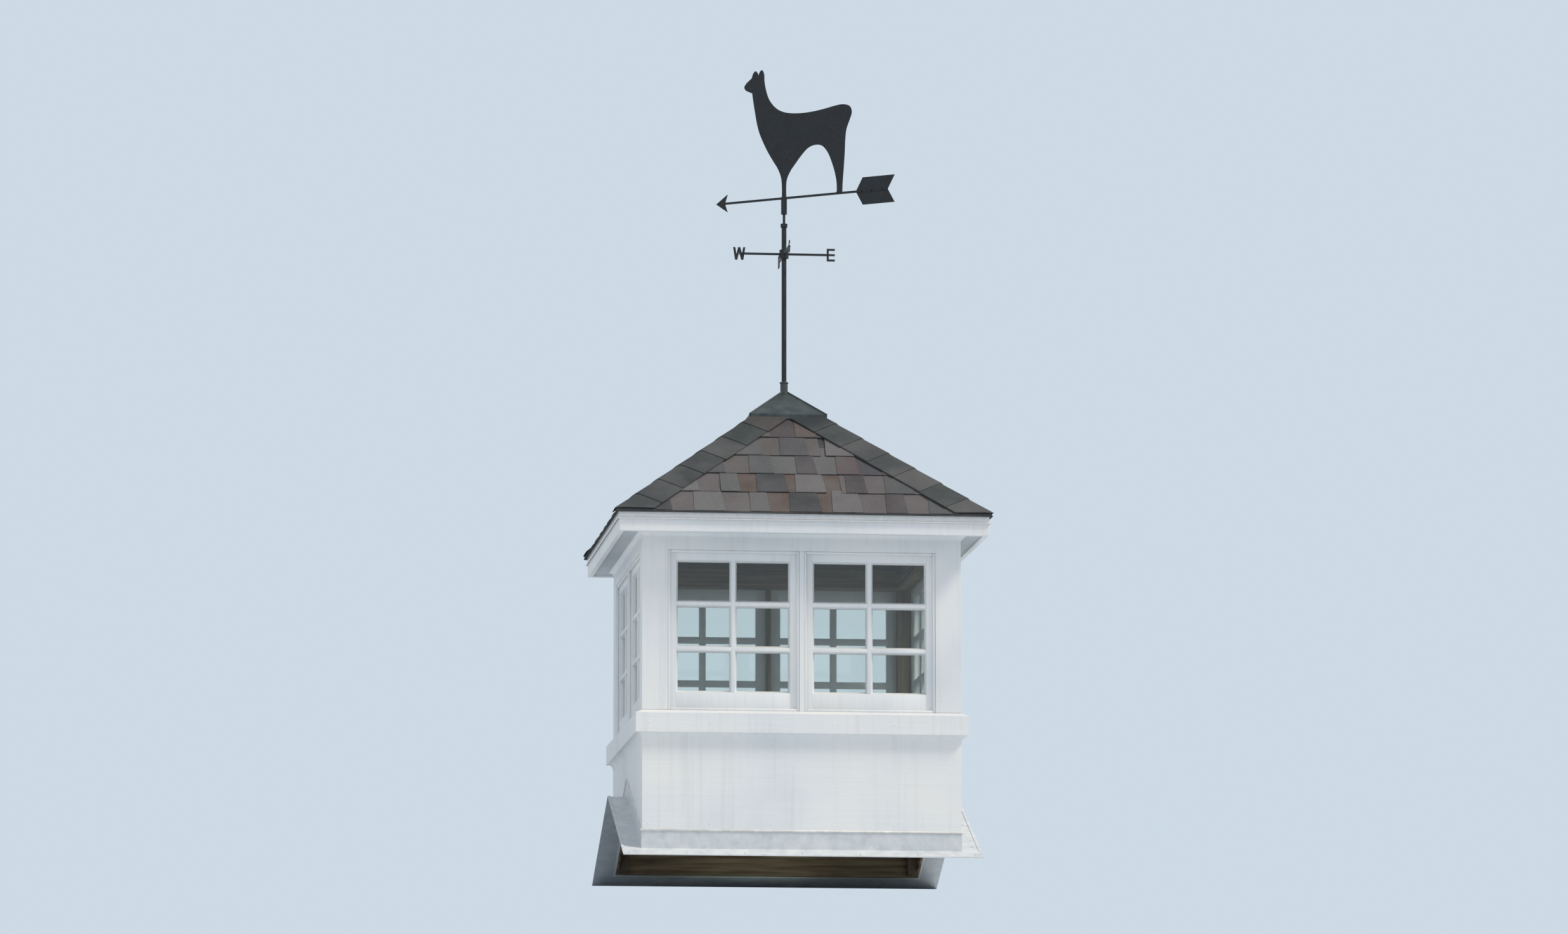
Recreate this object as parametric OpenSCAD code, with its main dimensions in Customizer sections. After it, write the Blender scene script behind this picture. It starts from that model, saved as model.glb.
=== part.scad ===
// Barn cupola: a square lantern for a roof ridge, with a saddle-cut base, a band of
// paired sashes under a hip roof, and a turning weathervane on the peak.
// Front is -Y and the saddle's ridge runs along X. The origin is on the level of the lowest
// edge, under the peak.

/* [Body] */
// Width of the square body over its corner posts
body_w = 1219; // [1000:1:1500]
// Height of the base's front face, from the saddle to the underside of the sill
base_h = 440; // [360:1:620]
// Thickness of the base's panels
panel_t = 19; // [15:1:25]
// Width of the square cleats in the base's inside corners
cleat_w = 38; // [25:1:50]
// Rise in 12 of the saddle cut that lets the base straddle a ridge
saddle_rise = 5; // [3:0.5:6]

/* [Flashing] */
// Reach of the flange beyond the base, measured level
apron_reach = 75; // [50:1:100]
// Height of the leg that stands against the base
upstand_h = 70; // [30:1:80]
// Thickness of the folded sheet
sheet_t = 1.2; // [0.8:0.1:2]
// Width of the hem along the flange's outer edge
hem_w = 10; // [6:1:15]
// Thickness of that hem
hem_t = 3.6; // [2.4:0.1:5]

/* [Sill] */
// Height of the sill's upright nose
nose_h = 74; // [45:1:90]
// Rise of the sloping wash above the nose
wash_h = 12; // [6:1:20]
// How far the nose stands out past the base
sill_out = 25; // [18:1:40]
// Height of the cove below the nose
cove_h = 28; // [18:1:40]
// How far the cove stands out past the base
cove_out = 17; // [10:1:18]

/* [Window band] */
// Width of the square corner posts
post_w = 98; // [80:1:130]
// Width of the mullion in the middle of each side
mullion_w = 18; // [16:1:60]
// Depth of the mullion, from the wall's face inwards
mullion_d = 62; // [55:1:70]
// Thickness of a sash
sash_t = 35; // [28:1:42]
// How far a sash is set back from the wall's face
sash_setback = 12; // [6:1:16]
// Width of a sash's stiles
stile_w = 32; // [28:1:50]
// Height of a sash's bottom rail
bottom_rail_h = 70; // [45:1:85]
// Height of a sash's top rail
top_rail_h = 36; // [28:1:60]
// Height of the glazed opening in a sash
light_h = 505; // [380:1:620]
// Clearance of a sash in its frame
sash_gap = 1; // [0.5:0.1:3]
// Thickness of the glass
glass_t = 4; // [3:1:6]
// Depth of the groove that holds the glass
groove_d = 8; // [5:1:12]
// Clearance of the glass in its groove
glass_gap = 0.25; // [0.1:0.05:0.5]
// Height of the header over the sashes
header_h = 65; // [45:1:110]

/* [Eaves] */
// How far the fascia's face stands out past the wall
eave_out = 95; // [60:1:160]
// Height of the fascia's face
fascia_h = 66; // [60:1:110]
// Thickness of the fascia
fascia_t = 19; // [15:1:25]
// Thickness of the soffit boards
soffit_t = 12; // [9:1:18]
// How far the fascia hangs below the soffit
fascia_drop = 8; // [4:1:15]
// Height and reach of the bed moulding under the soffit
bed_size = 18; // [12:1:28]

/* [Roof] */
// Rise in 12 of the cupola's own hip roof
hip_rise = 9.25; // [7:0.25:12]
// Thickness of the roof deck
deck_t = 12; // [9:1:19]
// Thickness of the shingle covering
shingle_t = 10; // [6:1:14]
// How far the shingles overhang the fascia
shingle_over = 16; // [8:1:25]
// Width of the hip rafters
rafter_w = 38; // [30:1:50]
// Depth of the hip rafters
rafter_d = 75; // [60:1:95]
// Width of the square king post
king_w = 76; // [64:1:100]
// Length of the king post
king_h = 190; // [160:1:260]
// Reach of the metal cap over the peak, from its centre
cap_reach = 150; // [80:1:160]
// Height of that cap's turned-down rim
cap_rim = 18; // [6:1:22]
// Height of the cap's collar round the mast
collar_h = 30; // [15:1:50]

/* [Weathervane] */
// Diameter of the mast
mast_d = 19; // [16:1:26]
// Length of mast held in the king post
mast_bury = 110; // [60:1:130]
// Diameter of the spindle on top of the mast
spindle_d = 10; // [8:1:12]
// Running clearance of the vane on its spindle, on the radius
spindle_gap = 0.05; // [0.02:0.01:0.09]
// Height of the direction arms above the roof's peak
arms_up = 556; // [420:1:620]
// Reach of the direction arms to the outer edge of their letters
arms_reach = 200; // [170:1:300]
// Width of the square bar of the arms
arm_bar = 8; // [6:1:12]
// Height of the hub that carries the arms
hub_h = 34; // [20:1:60]
// Height of a direction letter
letter_h = 50; // [40:1:70]
// Width of a letter's strokes
stroke = 8; // [6:0.5:11]
// Thickness of the letter plates
letter_t = 3; // [2:1:5]
// Height of the arrow above the roof's peak
arrow_up = 778; // [740:1:900]
// Width of the square bar of the arrow
arrow_bar = 8; // [8:1:14]
// Reach of the arrow's point from the mast's centre
point_reach = 300; // [260:1:360]
// Reach of the arrow's tail from the mast's centre
tail_reach = 484; // [430:1:560]
// Length of spindle that shows between mast and vane
spindle_shows = 38; // [10:1:50]
// Length of the tube that turns on the spindle
tube_l = 60; // [36:1:70]
// Thickness of the arrow's plates and of the figure
plate_t = 4; // [3:1:6]
// Height of the llama figure, from the arrow to its ear tips
figure_h = 515; // [420:1:600]
// Turn of the vane at rest, from the line of the saddle's ridge
vane_turn = -34; // [-180:1:180]

/* [Hidden] */
SIDES = ["front", "right", "back", "left"];
CORNERS = ["front_left", "front_right", "back_right", "back_left"];
function named(stem, ends) = [for (e = ends) str(stem, e)];

$fn = 64;
far = 2500;                // longer than anything that it cuts
past = 1;                  // how far a cutting shape runs past what it cuts
mitre_gap = 0.6;           // open joint between mitred pieces that share a node
mast_gap = 0.3;            // clearance round the mast where it passes through a piece
lay_gap = 0.05;            // clearance between the roof's layers, which meet on a slope
curve_step = 15;           // degrees between the points of a moulding's curve

// Plan sizes, from the centre outwards
half = body_w / 2;
inner = half - post_w;
panel_back = half - panel_t;
fascia_face = half + eave_out;
fascia_back = fascia_face - fascia_t;
shingle_edge = fascia_face + shingle_over;
flange_edge = half + apron_reach;

// The saddle cut meets the base's front face at z_saddle and peaks at z_ridge
saddle_slope = saddle_rise / 12;
saddle_cos = cos(atan(saddle_slope));
z_saddle = apron_reach * saddle_slope;
z_ridge = z_saddle + half * saddle_slope;

// Levels of the body
z_sill = z_saddle + base_h;
z_sill_top = z_sill + nose_h + wash_h;
z_light = z_sill_top + bottom_rail_h;
z_sash_top = z_light + light_h + top_rail_h;
z_header = z_sash_top + sash_gap;
z_soffit = z_header + header_h;
z_fascia = z_soffit - fascia_drop;

// The hip roof is built up from the deck's underside, which rises from the fascia's face.
// Thicknesses are measured square to the slope.
hip_slope = hip_rise / 12;
hip_cos = cos(atan(hip_slope));
deck_v = deck_t / hip_cos;
shingle_v = shingle_t / hip_cos;
z_fascia_top = z_fascia + fascia_h;
z_deck = z_fascia_top + lay_gap;
z_deck_peak = z_deck + fascia_face * hip_slope;
z_shingle_peak = z_deck_peak + deck_v + lay_gap;
z_peak = z_shingle_peak + shingle_v;
z_king = z_deck_peak - king_w / sqrt(2) * hip_slope;

// The weathervane
mast_r = mast_d / 2;
spindle_r = spindle_d / 2;
z_mast_foot = z_king - mast_bury;
z_arms = z_peak + arms_up;
z_arrow = z_peak + arrow_up;
z_tube = z_arrow - arrow_bar / 2 - tube_l;
z_shoulder = z_tube - spindle_shows;

function arc(centre, r, from, to, n = 12) =
    [for (i = [0:n]) let (a = from + (to - from) * i / n) centre + r * [cos(a), sin(a)]];

// Turns what is drawn for the front to side i: 0 front, 1 right, 2 back, 3 left
module on_side(i) {
    rotate([0, 0, 90 * i]) children();
}

// A profile of [distance out from the centre, height], run along the front to both sides
module run(profile, reach = far) {
    rotate([90, 0, 90])
        linear_extrude(height = 2 * reach, center = true)
            polygon([for (p = profile) [-p[0], p[1]]]);
}

// The quarter of the plan that belongs to the front, less half a joint along each mitre
module front_quarter(gap) {
    tip = gap / sqrt(2);
    translate([0, 0, -far])
        linear_extrude(height = 3 * far)
            polygon([[0, -tip], [-far, -far - tip], [far, -far - tip]]);
}

module mitred(profile, gap = 0) {
    intersection() {
        run(profile);
        front_quarter(gap);
    }
}

// The space under a gable whose ridge runs along X
module under_gable(peak, slope) {
    run([[-far, -far], [far, -far], [far, peak - far * slope], [0, peak], [-far, peak - far * slope]]);
}

// A box on the front wall: ranges along the wall, out from the centre and in height
module wall_box(x, out, z) {
    translate([x[0], -out[1], z[0]])
        cube([x[1] - x[0], out[1] - out[0], z[1] - z[0]]);
}

module both_halves() {
    children();
    mirror([1, 0, 0]) children();
}

// Base: four mitred panels cut to the saddle, with a cleat in each inside corner
module base_panel(i) {
    color("gainsboro") difference() {
        on_side(i) mitred([[panel_back, 0], [half, 0], [half, z_sill], [panel_back, z_sill]]);
        under_gable(z_ridge, saddle_slope);
    }
}

module base_cleats() {
    color("burlywood") difference() {
        for (i = [0:3]) on_side(i)
            wall_box([-panel_back, cleat_w - panel_back], [panel_back - cleat_w, panel_back], [0, z_sill]);
        under_gable(z_ridge, saddle_slope);
    }
}

// Flashing: a leg against the base and a hemmed flange at the saddle's slope. The front and back
// aprons run past the corners, and the side pieces fold over the ridge between them.
sheet_v = sheet_t / saddle_cos;
hem_v = hem_t / saddle_cos;
hem_in = flange_edge - hem_w;

function saddle_at(out) = z_saddle - (out - half) * saddle_slope;

function lying(from, to, thick) =
    [[from, saddle_at(from)], [to, saddle_at(to)],
     [to, saddle_at(to) + thick], [from, saddle_at(from) + thick]];

module apron() {
    color("silver") {
        run(lying(half, flange_edge, sheet_v), flange_edge);
        run(lying(hem_in, flange_edge, hem_v), flange_edge);
        run(lying(half, half + sheet_t, upstand_h), half);
    }
}

// A band that follows the saddle over the ridge on a side wall
module ridge_band(out, thick) {
    rotate([90, 0, 0])
        translate([0, 0, out[0]])
            linear_extrude(height = out[1] - out[0])
                polygon([[-half, z_saddle], [0, z_ridge], [half, z_saddle],
                         [half, z_saddle + thick], [0, z_ridge + thick], [-half, z_saddle + thick]]);
}

module saddle() {
    color("silver") {
        ridge_band([half, flange_edge], sheet_v);
        ridge_band([hem_in, flange_edge], hem_v);
        ridge_band([half, half + sheet_t], upstand_h);
    }
}

module flashing(i) {
    on_side(i)
        if (i % 2 == 0) apron();
        else saddle();
}

// A cove: a hollow quarter curve that leaves the wall at the bottom and reaches out at the top
function cove(top, high, reach) =
    [for (a = [0:curve_step:90]) [half + reach * (1 - cos(a)), top - high * (1 - sin(a))]];

// Sill: a mitred water table with a sloping wash, and a cove under its nose
module sill() {
    color("whitesmoke") mitred(concat(
        cove(z_sill, cove_h, cove_out),
        [[half + sill_out, z_sill], [half + sill_out, z_sill + nose_h],
         [half, z_sill_top], [inner, z_sill_top], [inner, z_sill], [half, z_sill]]
    ));
}

// Window band: corner posts, mullions, sashes in pairs, glass and headers
module corner_post() {
    color("whitesmoke") wall_box([-half, -inner], [inner, half], [z_sill_top, z_soffit]);
}

module mullion() {
    color("whitesmoke")
        wall_box([-mullion_w / 2, mullion_w / 2], [half - mullion_d, half], [z_sill_top, z_header]);
}

sash_near = mullion_w / 2 + sash_gap;
sash_far = inner - sash_gap;
sash_face = half - sash_setback;
sash_back = sash_face - sash_t;
glass_mid = (sash_face + sash_back) / 2;

// The space of the glass in the sash on the +X half of a wall, grown by a clearance
module pane(clear) {
    edge = groove_d - glass_gap + clear;
    thick = glass_t / 2 + clear;
    wall_box([sash_near + stile_w - edge, sash_far - stile_w + edge],
             [glass_mid - thick, glass_mid + thick],
             [z_light - edge, z_light + light_h + edge]);
}

module sash() {
    color("white") difference() {
        wall_box([sash_near, sash_far], [sash_back, sash_face], [z_sill_top, z_sash_top]);
        wall_box([sash_near + stile_w, sash_far - stile_w],
                 [sash_back - past, sash_face + past],
                 [z_light, z_light + light_h]);
        pane(glass_gap);
    }
}

module glass() {
    color("lightblue") pane(0);
}

module header() {
    color("whitesmoke") wall_box([-inner, inner], [inner, half], [z_header, z_soffit]);
}

// Eaves: bed moulding, soffit and fascia
module bed_moulding() {
    color("whitesmoke")
        mitred(concat(cove(z_soffit, bed_size, bed_size), [[half, z_soffit]]), mitre_gap);
}

z_seat = z_soffit + soffit_t;

module soffit_board() {
    color("gainsboro")
        mitred([[inner, z_soffit], [fascia_back, z_soffit], [fascia_back, z_seat], [inner, z_seat]],
               mitre_gap);
}

module fascia() {
    color("white")
        mitred([[fascia_back, z_fascia], [fascia_face, z_fascia], [fascia_face, z_fascia_top],
                [fascia_back, z_fascia_top + fascia_t * hip_slope]]);
}

// Roof frame: hip rafters that stand on the soffit boards and lean on a king post. Their tops
// are backed, that is bevelled both ways, to carry the deck.
hip_fall = hip_slope / sqrt(2);            // fall of the hip line along its own plan length
rafter_v = rafter_d / cos(atan(hip_fall));

function hip_at(s) = z_deck_peak - s * hip_fall;

module hip_rafter() {
    foot = fascia_back * sqrt(2) - rafter_w / 2;
    head = king_w / 2;
    seat = min(foot - rafter_w, (hip_at(0) - rafter_v - z_seat) / hip_fall);
    rotate([90, 0, -45])
        linear_extrude(height = rafter_w, center = true)
            polygon([[head, hip_at(head)], [foot, hip_at(foot)], [foot, z_seat],
                     [seat, z_seat], [head, hip_at(head) - rafter_v]]);
}

module hip_rafters() {
    color("burlywood") intersection() {
        for (i = [0:3]) on_side(i) hip_rafter();
        under_gable(z_deck_peak - lay_gap, hip_slope);
        on_side(1) under_gable(z_deck_peak - lay_gap, hip_slope);
    }
}

module king_post() {
    color("burlywood") difference() {
        rotate([0, 0, 45])
            translate([0, 0, z_king - king_h / 2])
                cube([king_w, king_w, king_h], center = true);
        translate([0, 0, z_mast_foot])
            cylinder(r = mast_r + mast_gap, h = king_h);
    }
}

// A layer of the hip roof on one side, from the peak of its underside to its lower edge
module roof_layer(peak, thick, edge, gap = 0) {
    difference() {
        mitred([[0, peak], [edge, peak - edge * hip_slope],
                [edge, peak + thick - edge * hip_slope], [0, peak + thick]], gap);
        translate([0, 0, z_king]) cylinder(r = mast_r + mast_gap, h = far);
    }
}

module deck_panel() {
    color("peru") roof_layer(z_deck_peak, deck_v, fascia_face, mitre_gap);
}

module shingles() {
    color("dimgray") roof_layer(z_shingle_peak, shingle_v, shingle_edge);
}

// Peak cap: a folded sheet that stands over the hips on a turned-down rim, with a collar
// round the mast
module peak_cap() {
    collar_r = mast_r + mast_gap + 4 * sheet_t;
    sheet_rise = cap_rim - sheet_t;
    rim_in = cap_reach - sheet_t;
    function on_roof(out) = z_peak - out * hip_slope;
    color("darkslategray") difference() {
        union() {
            for (i = [0:3])
                on_side(i) mitred([
                    [0, z_peak + sheet_rise], [rim_in, on_roof(rim_in) + sheet_rise],
                    [rim_in, on_roof(rim_in)], [cap_reach, on_roof(cap_reach)],
                    [cap_reach, on_roof(cap_reach) + cap_rim], [0, z_peak + cap_rim]]);
            translate([0, 0, on_roof(collar_r) + sheet_rise])
                cylinder(r = collar_r, h = collar_r * hip_slope + collar_h);
        }
        translate([0, 0, z_king]) cylinder(r = mast_r + mast_gap, h = far);
    }
}

// Mast: a rod from the king post up to a shoulder collar, then the bare spindle
collar_out = 4;
shoulder_h = 14;

module mast() {
    color("darkslategray") {
        translate([0, 0, z_mast_foot]) cylinder(r = mast_r, h = z_shoulder - z_mast_foot);
        translate([0, 0, z_shoulder - shoulder_h]) cylinder(r = mast_r + collar_out, h = shoulder_h);
        translate([0, 0, z_shoulder]) cylinder(r = spindle_r, h = spindle_shows + tube_l);
    }
}

// Direction letters, in the order S, E, N, W. Each is drawn about its own centre and is as
// wide as its entry here.
letter_w = [(letter_h + stroke) / 2, 0.64 * letter_h, 0.72 * letter_h, 0.96 * letter_h];
top = letter_h / 2;

module letter_s() {
    r = letter_w[0] / 2;
    ring = r - stroke / 2;
    lower = concat(arc([0, -ring], r - stroke, 90, -180), arc([0, -ring], r, -180, 85));
    polygon(concat(lower, [for (p = lower) -p]));
}

module letter_e(w) {
    translate([-w / 2, -top]) square([stroke, letter_h]);
    for (y = [-top, -stroke / 2, top - stroke])
        translate([-w / 2, y]) square([w, stroke]);
}

module letter_n(w) {
    slant = 1.2 * stroke;
    for (x = [-w / 2, w / 2 - stroke]) translate([x, -top]) square([stroke, letter_h]);
    polygon([[-w / 2, top], [slant - w / 2, top], [w / 2, -top], [w / 2 - slant, -top]]);
}

module letter_w(w) {
    leg = 1.1 * stroke;
    for (flip = [1, -1]) scale([flip, 1]) {
        polygon([[w / 2 - leg, top], [w / 2, top], [w / 4 + leg / 2, -top], [w / 4 - leg / 2, -top]]);
        polygon([[-leg / 2, top], [leg / 2, top], [w / 4 + leg / 2, -top], [w / 4 - leg / 2, -top]]);
    }
}

// Direction arms: a hub on the mast, four square bars and a letter plate at each end
module direction_arms() {
    hub_r = mast_r + mast_gap + arm_bar;
    color("darkslategray") difference() {
        union() {
            translate([0, 0, z_arms]) cylinder(r = hub_r, h = hub_h, center = true);
            for (i = [0:3]) rotate([0, 0, 90 * (i - 1)]) {
                w = letter_w[i];
                // S and W are open at mid height, so their bars reach further in
                bite = i % 3 == 0 ? w / 2 : stroke / 2;
                translate([0, -arm_bar / 2, z_arms - arm_bar / 2])
                    cube([arms_reach - w + bite, arm_bar, arm_bar]);
                translate([arms_reach - w / 2, 0, z_arms])
                    rotate([90, 0, i >= 2 ? 180 : 0])
                        linear_extrude(height = letter_t, center = true)
                            if (i == 0) letter_s();
                            else if (i == 1) letter_e(w);
                            else if (i == 2) letter_n(w);
                            else letter_w(w);
            }
        }
        translate([0, 0, z_arms]) cylinder(r = mast_r + mast_gap, h = 2 * hub_h, center = true);
    }
}

// Vane: drawn in its own upright plane as [distance towards the tail, height above the arrow]
module on_vane(thick) {
    rotate([90, 0, vane_turn])
        translate([0, z_arrow, 0])
            linear_extrude(height = thick, center = true) children();
}

module vane_arrow() {
    tube_r = mast_r + 2;
    head_l = 50;
    head_h = 70;
    barb = 12;                 // how far the head's barbs trail behind its neck
    neck = point_reach - head_l + barb;
    fin_l = 168;
    fin_h = 108;
    nock = 30;                 // depth of the notch in the tail, and slant of its front edge
    color("darkslategray") difference() {
        union() {
            on_vane(arrow_bar)
                translate([-neck - past, -arrow_bar / 2]) square([neck + tail_reach - nock, arrow_bar]);
            on_vane(plate_t) {
                polygon([[-point_reach, 0], [head_l - point_reach, head_h / 2], [-neck, 0],
                         [head_l - point_reach, -head_h / 2]]);
                polygon([[tail_reach - fin_l, 0], [tail_reach - fin_l + nock, fin_h / 2],
                         [tail_reach, fin_h / 2], [tail_reach - nock, 0],
                         [tail_reach, -fin_h / 2], [tail_reach - fin_l + nock, -fin_h / 2]]);
            }
            translate([0, 0, z_tube]) cylinder(r = tube_r, h = tube_l + arrow_bar);
        }
        translate([0, 0, z_tube - past]) cylinder(r = spindle_r + spindle_gap, h = tube_l + 2 * past);
    }
}

// The llama: smooth curves between the corners at its feet, ears and throat, for a height of 500
function smooth(p, n = 5) =
    [for (i = [0:len(p) - 2], j = [0:n - 1])
        let (a = p[max(i - 1, 0)], b = p[i], c = p[i + 1], d = p[min(i + 2, len(p) - 1)], t = j / n)
        (2 * b + (c - a) * t + (2 * a - 5 * b + 4 * c - d) * t * t
            + (3 * b - a - 3 * c + d) * t * t * t) / 2];

hind_and_back = [[248, 0], [250, 40], [253, 76], [256, 112], [259, 156], [261, 200], [266, 240],
                 [280, 276], [289, 304], [280, 328], [252, 337], [216, 334], [176, 327], [120, 320],
                 [60, 319], [6, 327], [-34, 347], [-64, 383], [-79, 426], [-85, 460]];
far_ear = [[-85, 460], [-86, 484], [-94, 500], [-104, 492], [-110, 477]];
near_ear = [[-110, 477], [-113, 489], [-122, 498], [-132, 489], [-138, 472]];
face = [[-138, 472], [-150, 463], [-163, 452], [-170, 440], [-165, 428], [-152, 420], [-136, 413]];
neck_and_fore = [[-136, 413], [-131, 378], [-124, 338], [-117, 300], [-107, 262], [-92, 226],
                 [-72, 186], [-48, 146], [-24, 108], [-10, 66], [-8, 0]];
fore_and_belly = [[9, 0], [10, 60], [25, 96], [50, 128], [76, 158], [103, 182], [134, 191],
                  [164, 184], [187, 158], [204, 120], [217, 80], [225, 40], [226, 0]];

function last(list) = list[len(list) - 1];

module vane_figure() {
    color("darkslategray")
        on_vane(plate_t)
            translate([0, arrow_bar / 2])
                scale(figure_h / 500)
                    polygon(concat(smooth(hind_and_back), smooth(far_ear), smooth(near_ear),
                                   smooth(face), smooth(neck_and_fore), [last(neck_and_fore)],
                                   smooth(fore_and_belly), [last(fore_and_belly)]));
}

for (i = [0:3]) {
    base_panel(i);
    flashing(i);
    on_side(i) sill();
    on_side(i) corner_post();
    on_side(i) mullion();  // mullions
    on_side(i) both_halves() sash();
    on_side(i) both_halves() glass();
    on_side(i) header();  // headers
    on_side(i) bed_moulding();  // bed_mouldings
    on_side(i) soffit_board();  // soffit_boards
    on_side(i) fascia();
    on_side(i) deck_panel();  // roof_deck
    on_side(i) shingles();
}
base_cleats();
hip_rafters();
king_post();
peak_cap();
mast();
direction_arms();
vane_arrow();
vane_figure();
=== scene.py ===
# Cupola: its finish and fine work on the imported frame, in metres and in the frame's axes
import math

import bmesh
import bpy
from mathutils import Matrix, Vector


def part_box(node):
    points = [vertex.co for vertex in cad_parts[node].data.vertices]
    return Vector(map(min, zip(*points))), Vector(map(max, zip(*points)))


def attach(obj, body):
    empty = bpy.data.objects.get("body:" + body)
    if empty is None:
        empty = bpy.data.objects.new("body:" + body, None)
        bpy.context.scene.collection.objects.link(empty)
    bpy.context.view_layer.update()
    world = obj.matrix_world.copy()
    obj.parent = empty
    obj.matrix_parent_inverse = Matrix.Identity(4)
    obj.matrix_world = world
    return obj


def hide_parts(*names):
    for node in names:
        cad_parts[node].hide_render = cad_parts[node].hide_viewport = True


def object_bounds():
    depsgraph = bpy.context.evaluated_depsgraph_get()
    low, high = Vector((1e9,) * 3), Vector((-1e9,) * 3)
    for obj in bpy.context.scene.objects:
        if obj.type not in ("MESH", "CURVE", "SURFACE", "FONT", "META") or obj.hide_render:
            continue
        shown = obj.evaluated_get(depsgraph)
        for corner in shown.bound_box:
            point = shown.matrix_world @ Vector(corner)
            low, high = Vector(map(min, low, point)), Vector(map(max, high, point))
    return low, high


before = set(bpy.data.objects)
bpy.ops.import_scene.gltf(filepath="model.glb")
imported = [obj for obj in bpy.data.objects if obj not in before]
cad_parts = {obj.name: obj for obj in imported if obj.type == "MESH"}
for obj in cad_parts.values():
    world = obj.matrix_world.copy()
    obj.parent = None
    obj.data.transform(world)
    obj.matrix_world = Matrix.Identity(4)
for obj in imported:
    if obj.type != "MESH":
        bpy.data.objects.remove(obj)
cad_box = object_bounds()

# The view: from the ground, in front and a little to the left, so the cupola is seen from below
# and its left wall shows as a sliver. The lens is long because only the cupola is shown.
VIEW_TURN = math.radians(-6.4)
VIEW_RANGE = 28.73
EYE_LEVEL = -2.54
FRAME_SHAPE = 2472 / 1472
FILL = 0.87                     # share of the picture's height that the cupola takes
SENSOR_MM = 36
NEAREST, FURTHEST = 0.1, 400


def in_scene(name, data):
    """A new object in the scene, at the origin."""
    made = bpy.data.objects.new(name, data)
    bpy.context.scene.collection.objects.link(made)
    return made


low, high = cad_box
eye = Vector((VIEW_RANGE * math.sin(VIEW_TURN), -VIEW_RANGE * math.cos(VIEW_TURN), EYE_LEVEL))
aim = (low + high) / 2 - eye
view_data = bpy.data.cameras.new("view")
view_data.sensor_width = SENSOR_MM
view_data.lens = SENSOR_MM * aim.length * FILL / ((high.z - low.z) * FRAME_SHAPE)
view_data.clip_start = NEAREST
view_data.clip_end = FURTHEST
view = in_scene("view", view_data)
view.location = eye
view.rotation_euler = aim.to_track_quat("-Z", "Y").to_euler()
bpy.context.scene.camera = view

# Base: four painted boards, mitred at the corners and cut to straddle a ridge. The outside is
# brushed with white house paint, and inside the timber is left bare.
SIDES = ("front", "right", "back", "left")
BOARD_EASE = 0.002
EASE_STEPS = 2
EASED_ABOVE = math.radians(35)  # an edge that turns by less stays as it is
SKIN_GAP = 0.01                 # share of an eased edge within which points are joined
MATH, MIX, NOISE = "ShaderNodeMath", "ShaderNodeMix", "ShaderNodeTexNoise"
RAMP, RANGE, BUMP = "ShaderNodeValToRGB", "ShaderNodeMapRange", "ShaderNodeBump"
SURFACE, OUTPUT = "ShaderNodeBsdfPrincipled", "ShaderNodeOutputMaterial"


def linear(hex_colour):
    """A colour written as sRGB hex, as the linear numbers that a shader wants."""
    parts = [int(hex_colour[i:i + 2], 16) / 255 for i in (1, 3, 5)]
    return (*[p / 12.92 if p <= 0.04045 else ((p + 0.055) / 1.055) ** 2.4 for p in parts], 1)


def per_metre(mm):
    """The scale of a pattern whose marks are this many millimetres apart."""
    return 1000 / mm


def add(tree, kind, inputs=(), stops=(), **settings):
    """Adds a node. inputs gives each socket a value, or the socket or the node that feeds it."""
    node = tree.nodes.new(kind)
    for key, value in settings.items():
        setattr(node, key, value)
    for key, value in dict(inputs).items():
        if isinstance(value, bpy.types.Node):
            value = value.outputs[0]
        if isinstance(value, bpy.types.NodeSocket):
            tree.links.new(value, node.inputs[key])
        else:
            node.inputs[key].default_value = value
    if stops:
        stops = list(stops)
        ramp = node.color_ramp.elements
        while len(ramp) < len(stops):
            ramp.new(0.5)
        for mark, (place, colour) in zip(ramp, stops):
            mark.position = place
            mark.color = linear(colour)
    return node


def streaks(tree, place, grain, long, wide, detail):
    """Noise in streaks this long and this wide, in millimetres. They run level on any side,
    upright, or along the first axis."""
    sizes = {"level": (long, long, wide), "upright": (wide, wide, long), "first": (long, wide, wide)}
    scale = [per_metre(mm) for mm in sizes[grain]]
    drawn_out = add(tree, "ShaderNodeMapping", {"Vector": place, "Scale": scale})
    return add(tree, NOISE, {"Vector": drawn_out, "Scale": 1, "Detail": detail})


def new_finish(name):
    """An empty material, its tree, and a socket with the object's own coordinates."""
    finish = bpy.data.materials.new(name)
    finish.use_nodes = True
    tree = finish.node_tree
    tree.nodes.clear()
    return finish, tree, add(tree, "ShaderNodeTexCoord").outputs["Object"]


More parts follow.
